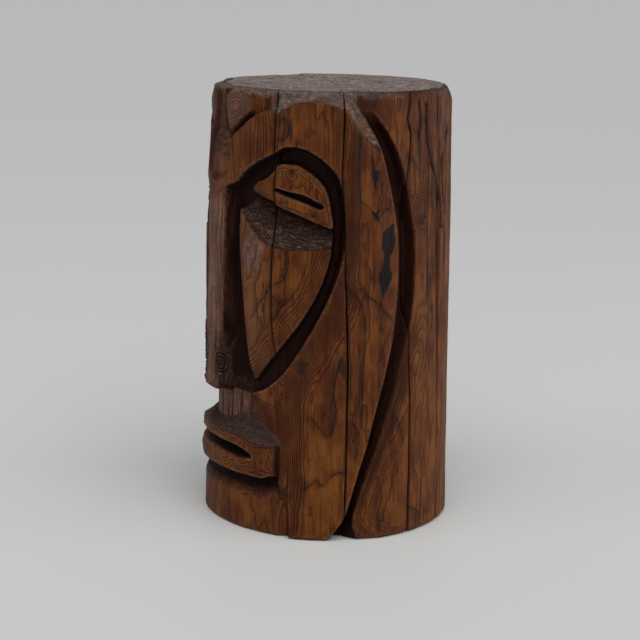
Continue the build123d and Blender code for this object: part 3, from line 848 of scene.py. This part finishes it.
def wood_material(name, knot=False):
    """Stained softwood, drawn from the fields stored at each point of the mesh."""
    mat = bpy.data.materials.new(name)
    mat.use_nodes = True
    nodes, links = mat.node_tree.nodes, mat.node_tree.links
    nodes.clear()

    def node(kind, sources=(), **settings):
        """A node with its settings, and a link or a value for each (socket, source)."""
        n = nodes.new(kind)
        for key, value in settings.items():
            setattr(n, key, value)
        for socket, source in sources:
            if isinstance(source, bpy.types.NodeSocket):
                links.new(source, n.inputs[socket])
            elif isinstance(source, tuple) and n.inputs[socket].type == "RGBA":
                n.inputs[socket].default_value = (*source, 1)
            else:
                n.inputs[socket].default_value = source
        return n

    def math_node(op, a, b, clamp=False):
        return node("ShaderNodeMath", enumerate((a, b)), operation=op, use_clamp=clamp).outputs[0]

    def times(a, b, clamp=False):
        return math_node("MULTIPLY", a, b, clamp)

    def plus(a, b):
        return math_node("ADD", a, b)

    def attr(key):
        return node("ShaderNodeAttribute", attribute_name=key).outputs["Fac"]

    def ramp(value, stops):
        n = node("ShaderNodeValToRGB", [(0, value)])
        while len(n.color_ramp.elements) < len(stops):
            n.color_ramp.elements.new(0.5)
        for element, (position, color) in zip(n.color_ramp.elements, stops):
            element.position = position
            element.color = (*color, 1)
        return n.outputs[0]

    def fade(value, *stops):
        return ramp(value, [(position, (level,) * 3) for position, level in stops])

    def mix(factor, a, b):
        return node("ShaderNodeMix", [(0, factor), (6, a), (7, b)], data_type="RGBA",
            blend_type="MIX").outputs[2]

    coords = node("ShaderNodeTexCoord").outputs["Object"]

    def tex(along, scale, detail, roughness):
        """Noise in the object's own space, drawn out up the log where along is small."""
        stretched = node("ShaderNodeMapping", [("Scale", (1, 1, along)), ("Vector", coords)]).outputs[0]
        settings = [("Scale", scale), ("Detail", detail), ("Roughness", roughness), ("Vector", stretched)]
        return node("ShaderNodeTexNoise", settings).outputs["Fac"]

    fibre = tex(0.045, 700, 4, 0.6)
    streak = tex(0.03, 190, 4, 0.6)
    pores = tex(0.03, 1100, 2, 0.5)
    cloud = tex(0.35, 17, 4, 0.6)
    mottle = tex(0.5, 46, 4, 0.62)
    fine = tex(1, 1300, 3, 0.55)
    chip = tex(1.3, 160, 5, 0.7)
    slope, rough, dark, convexity, ink = (attr(key) for key in ("slope", "rough", "dark", "convexity", "ink"))

    # Late wood: a thin line of even width, with a short shade on one side of it
    count = plus(attr("ring"), times(math_node("SUBTRACT", streak, 0.5), 0.16))
    phase, index = math_node("FRACT", count, 0), math_node("FLOOR", count, 0)
    tone = node("ShaderNodeTexWhiteNoise", [("W", index)], noise_dimensions="1D").outputs["Value"]
    to_line = math_node("DIVIDE", math_node("SUBTRACT", 1, phase), slope)
    past_line = math_node("DIVIDE", phase, slope)
    line = fade(math_node("DIVIDE", to_line, 3), (0, 1), (0.32, 0.85), (0.62, 0))
    line = math_node("MAXIMUM", line, fade(past_line, (0, 0.9), (0.5, 0)))
    share = fade(phase, (0.10, 0), (0.42, 0.06), (0.72, 0.5), (0.97, 1))
    shade = math_node("MINIMUM", fade(math_node("DIVIDE", to_line, 10), (0, 1), (1, 0)), share)
    near_line = times(line, fade(share, (0, 0.35), (0.6, 1)))
    late = math_node("MAXIMUM", times(near_line, 0.95), times(shade, 0.5))

    # Early wood, with its streaks and pores
    early = ramp(plus(cloud, times(attr("gold"), 0.16)), EARLY_WOOD)
    early = mix(times(tone, 0.4), early, RING_TONE)
    for source, start, stop, color in (
        (mottle, (0.36, 0.75), (0.50, 0), (0.085, 0.019, 0.008)),
        (mottle, (0.50, 0), (0.64, 0.6), (0.205, 0.070, 0.015)),
        (fibre, (0.38, 0.35), (0.54, 0), (0.040, 0.010, 0.0038)),
        (streak, (0.32, 0.5), (0.45, 0), (0.034, 0.0085, 0.0034)),
        (streak, (0.55, 0), (0.70, 0.4), (0.215, 0.070, 0.017)),
        (pores, (0.60, 0), (0.72, 0.5), (0.020, 0.006, 0.003)),
    ):
        early = mix(fade(source, start, stop), early, color)
    base = mix(times(late, 0.9), early, LATE_WOOD)

    # Resin lines and blotches, raised edges rubbed pale and lit with a painted highlight, and rough grey end
    # grain that is partly a painted sheen of light from above
    base = mix(ink, base, RESIN_AND_SHADE_INK)
    base = mix(times(attr("blot"), plus(0.62, times(streak, 0.7)), clamp=True), base, BLOTCH)
    # Raised edges: rubbed pale wood together with a painted highlight
    base = mix(times(times(convexity, 0.8, clamp=True), fade(chip, (0.40, 0.05), (0.60, 0.62))), base, RUBBED_AND_HIGHLIGHT)
    # Grey for rough end grain, partly weathering and partly a painted sheen of light from above
    grey = mix(times(late, 0.92), ramp(chip, GREY_WOOD), GREY_LATE)
    base = mix(times(rough, 0.85), base, grey)

    # Paler where dark is below zero: weathering, with painted highlights mixed in. Darker where it is above
    # zero and in hollows: stain, with painted shade in grooves, hollows and under overhangs
    # The pale mix serves weathered wood and also painted highlights and painted light
    bleached_and_highlit = mix(times(late, 0.62), ramp(chip, BLEACHED_AND_HIGHLIT_WOOD), BLEACHED_AND_HIGHLIT_LATE)
    base = mix(times(dark, -1, clamp=True), base, bleached_and_highlit)
    # Painted shade: hollows are darkened together with the dark areas
    soak_and_shade = math_node("MAXIMUM", dark, times(convexity, -0.3, clamp=True))
    soaked_and_shaded = mix(times(late, 0.85), STAIN_AND_SHADE, STAIN_AND_SHADE_LATE)
    soaked_and_shaded = mix(fade(streak, (0.42, 0), (0.58, 0.85)), soaked_and_shaded, STAIN_AND_SHADE_STREAK)
    base = mix(times(soak_and_shade, 0.985, clamp=True), base, soaked_and_shaded)
    if knot:
        base = mix(0.5, base, KNOT_STAIN)

    gloss = plus(plus(0.5, times(rough, 0.28)), times(math_node("SUBTRACT", fibre, 0.5), 0.3))
    height = times(late, 0.6)
    for part, weight in ((fibre, 0.9), (streak, 0.9), (fine, 0.2), (times(rough, chip), 3.2), (ink, -0.3)):
        height = plus(height, times(part, weight))
    bump = node("ShaderNodeBump", [("Strength", 0.85), ("Distance", 0.0009), ("Height", height)])
    sources = [("Base Color", base), ("Roughness", gloss), ("Normal", bump.outputs[0]),
        ("Specular IOR Level", 0.08)]
    bsdf = node("ShaderNodeBsdfPrincipled", sources)
    node("ShaderNodeOutputMaterial", [("Surface", bsdf.outputs[0])])
    return mat


WOOD = wood_material("stained_wood")
KNOT = wood_material("knot_wood", knot=True)

for stave in STAVES:
    piece = make_stave(stave)
    piece.data.materials.append(WOOD)
    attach(piece, "root")
    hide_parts(stave)


CORE_CRACKS = [  # angle of each crack in the ends of the heart, and how far it runs in from the edge
    (41.4, 75), (76.5, 52), (107, 60), (177, 75), (224, 44), (287, 66), (327, 75), (12, 38), (256, 30),
]


def make_core():
    """The sound heart, showing only as end grain at the top and the base."""
    around, steps = 240, 44
    angle = np.linspace(0, 360, around, endpoint=False)
    points, fields = [], {k: [] for k in ("ring", "dark")}

    def add(radius, ang, z, dark):
        base = sum(len(p) for p in points)
        points.append(at_point(radius, ang, z).reshape(-1, 3))
        lean = 1.3 * np.sin(np.radians(ang * 2 + 40)) + 0.8 * np.sin(np.radians(ang * 3))
        count = END_RINGS * (log_radius(HEIGHT) - radius) + 0.6 * lean * np.clip(radius / 60, 0, 1)
        fields["ring"].append((count + 1.2 * end_grain(radius / 3, ang)).ravel())
        # End grain is weathered pale; on the top this paleness also stands for painted light from above
        fields["dark"].append((1.6 * dark - 0.78 + 0.55 * end_grain(radius, ang)).ravel())
        return base + np.arange(ang.size).reshape(ang.shape)

    faces, sharp = [], []
    rings = {}
    for name, z, sign in (("top", HEIGHT, -1), ("bottom", 0.0, 1)):
        r = np.linspace(CORE_R, 1.5, steps)[:, None] + 0 * angle
        ang = angle + 0 * r
        star = np.zeros(r.shape)
        for spoke, reach in CORE_CRACKS:
            off = np.abs((ang - spoke + 180) % 360 - 180) * np.radians(1) * r
            star = np.maximum(star, 0.45 * np.exp(-(off / 0.7) ** 2) * smooth(reach, reach - 20, CORE_R - r)
                * smooth(4, 10, r))
        # Painted shade: the cracks in the ends are darkened as well as sunk
        lift = eaten(r, ang) * smooth(0, 6, CORE_R - r) + 1.6 * star
        grid = add(r, ang, z + sign * lift, 0.85 * star)
        pith = add(np.array([0.0]), np.array([0.0]), np.array([z + sign * 0.2]), np.array([0.6]))[0]
        wrapped = np.concatenate([grid, grid[:, :1]], 1)
        q = cells(wrapped)
        tris = np.stack([wrapped[-1, :-1], wrapped[-1, 1:], np.full(around, pith)], -1)
        if name == "bottom":
            q, tris = q[:, ::-1], tris[:, ::-1]
        faces += q.tolist() + tris.tolist()
        sharp += [False] * (len(q) + len(tris))
        rings[name] = wrapped[0]
    side = np.stack([rings["bottom"][:-1], rings["bottom"][1:], rings["top"][1:], rings["top"][:-1]], -1)
    faces += side.tolist()
    sharp += [True] * len(side)
    ring, dark = (np.concatenate(fields[key]) for key in ("ring", "dark"))
    return make_object("heart_core_grain", np.vstack(points), faces, sharp,
                       dict(ring=ring, slope=END_RINGS, rough=1.0, dark=dark))


core = make_core()
core.data.materials.append(WOOD)
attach(core, "root")
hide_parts("heart_core")


def make_knot(name, angle, height, radius):
    """A branch knot, level with the surface round it, with its own tight rings."""
    turns, rings = 40, 14
    theta = np.linspace(0, 2 * np.pi, turns, endpoint=False)
    rho = np.linspace(1, 0.04, rings)[:, None]
    wave = 1 + 0.07 * np.sin(2 * theta + 1) + 0.04 * np.sin(3 * theta)
    a = angle + rho * wave * radius * np.cos(theta) / DEG
    z = height + rho * wave * radius * 1.12 * np.sin(theta)
    depth = relief(a, z)[0]
    depth = depth - 0.35 + 0.5 * (rho > 0.97)
    surface = at_point(log_radius(z) - depth, a, z).reshape(-1, 3)
    deep = at_point(log_radius(z[0]) - depth[0] - KNOT_DEEP, a[0], z[0])
    middle = log_radius(height) - depth[-1].mean()
    centre, tail = (at_point(r, np.array([angle]), np.array([height])) for r in (middle, middle - KNOT_DEEP))
    index = np.arange(rings * turns).reshape(rings, turns)
    index = np.concatenate([index, index[:, :1]], 1)
    base = rings * turns
    low = np.append(np.arange(base, base + turns), base)
    c, t = base + turns, base + turns + 1
    faces = cells(index).tolist()
    faces += np.stack([index[-1, :-1], index[-1, 1:], np.full(turns, c)], -1).tolist()
    faces += np.stack([low[:-1], low[1:], index[0, 1:], index[0, :-1]], -1).tolist()
    faces += np.stack([low[1:], low[:-1], np.full(turns, t)], -1).tolist()
    ring = np.concatenate([(rho * radius / 1.15 + 0 * theta).ravel(), np.full(turns, 3.0), [0, 0]])
    dark = np.concatenate([(0.75 * (rho > 0.9) + 0 * theta).ravel(), np.ones(turns), [0.5, 1]])
    fields = dict(ring=ring, slope=0.8, rough=0.15, dark=dark)
    return make_object(name, np.vstack([surface, deep, centre, tail]), faces, [False] * len(faces), fields)


KNOTS = {  # angle, height and radius
    "upper_lid_knot": (50, 504, 4.0),
    "lower_lid_knot": (60.5, 447, 2.8),
    "nostril_knot": (9, 228, 5.5),
}
for node_name, where in KNOTS.items():
    piece = make_knot(node_name + "_grain", *where)
    piece.data.materials.append(KNOT)
    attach(piece, "root")
    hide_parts(node_name)


# ---- floor, light and camera

def plain_material(name, color, roughness):
    mat = bpy.data.materials.new(name)
    mat.use_nodes = True
    bsdf = mat.node_tree.nodes["Principled BSDF"]
    bsdf.inputs["Base Color"].default_value = (*color, 1)
    bsdf.inputs["Roughness"].default_value = roughness
    return mat


floor_mesh = bpy.data.meshes.new("floor")
floor_mesh.from_pydata([(-40, -40, 0), (40, -40, 0), (40, 40, 0), (-40, 40, 0)], [], [(0, 1, 2, 3)])
floor = bpy.data.objects.new("floor", floor_mesh)
bpy.context.scene.collection.objects.link(floor)
floor.data.materials.append(plain_material("pale_floor", (0.72, 0.72, 0.70), 0.5))


def area_light(name, place, size, power, color=(1, 1, 1)):
    data = bpy.data.lights.new(name, "AREA")
    data.shape = "DISK"
    data.size = size
    data.energy = power
    data.color = color
    obj = bpy.data.objects.new(name, data)
    obj.location = place
    obj.rotation_euler = (Vector((0, 0, 0.3)) - Vector(place)).to_track_quat("-Z", "Y").to_euler()
    bpy.context.scene.collection.objects.link(obj)


CAMERA_TURN, CAMERA_AWAY, CAMERA_UP, CAMERA_LENS = math.radians(68.0), 2.4205, 0.8005, 97.3
PITCH, ROLL, YAW = math.radians(12.33), math.radians(1.1), 0.0044509
RIGHT = Vector((math.cos(CAMERA_TURN), math.sin(CAMERA_TURN), 0))
TOWARD = Vector((math.sin(CAMERA_TURN), -math.cos(CAMERA_TURN), 0))


def around(right, toward, up):
    return tuple(RIGHT * right + TOWARD * toward + Vector((0, 0, up)))


area_light("left_fill", around(-3.0, 1.4, 1.9), 2.2, 18)
area_light("right_fill", around(3.2, 0.3, 0.35), 1.6, 40)
sky_data = bpy.data.lights.new("softbox", "SUN")
sky_data.energy = 1.85
sky_data.angle = math.radians(62)
sky = bpy.data.objects.new("softbox", sky_data)
sky.rotation_euler = Vector(around(0.25, 1.0, 1.75)).to_track_quat("Z", "Y").to_euler()
bpy.context.scene.collection.objects.link(sky)
world = bpy.data.worlds.new("studio")
bpy.context.scene.world = world
world.use_nodes = True
world.node_tree.nodes["Background"].inputs["Color"].default_value = (0.93, 0.95, 1.0, 1)
world.node_tree.nodes["Background"].inputs["Strength"].default_value = 0.26

camera_data = bpy.data.cameras.new("camera")
camera_data.lens = CAMERA_LENS
camera_data.sensor_width = 36.0
camera = bpy.data.objects.new("camera", camera_data)
forward = -TOWARD * math.cos(PITCH) - Vector((0, 0, 1)) * math.sin(PITCH)
up = RIGHT.cross(forward)
right = RIGHT * math.cos(ROLL) + up * math.sin(ROLL)
up = up * math.cos(ROLL) - RIGHT * math.sin(ROLL)
aim = (forward - right * YAW).normalized()
right = (right + forward * YAW).normalized()
turned = Matrix((right, up, -aim)).transposed()
place = TOWARD * CAMERA_AWAY + Vector((0, 0, CAMERA_UP))
camera.matrix_world = Matrix.Translation(place) @ turned.to_4x4()
bpy.context.scene.collection.objects.link(camera)
bpy.context.scene.camera = camera
bpy.context.scene.view_settings.view_transform = "Standard"
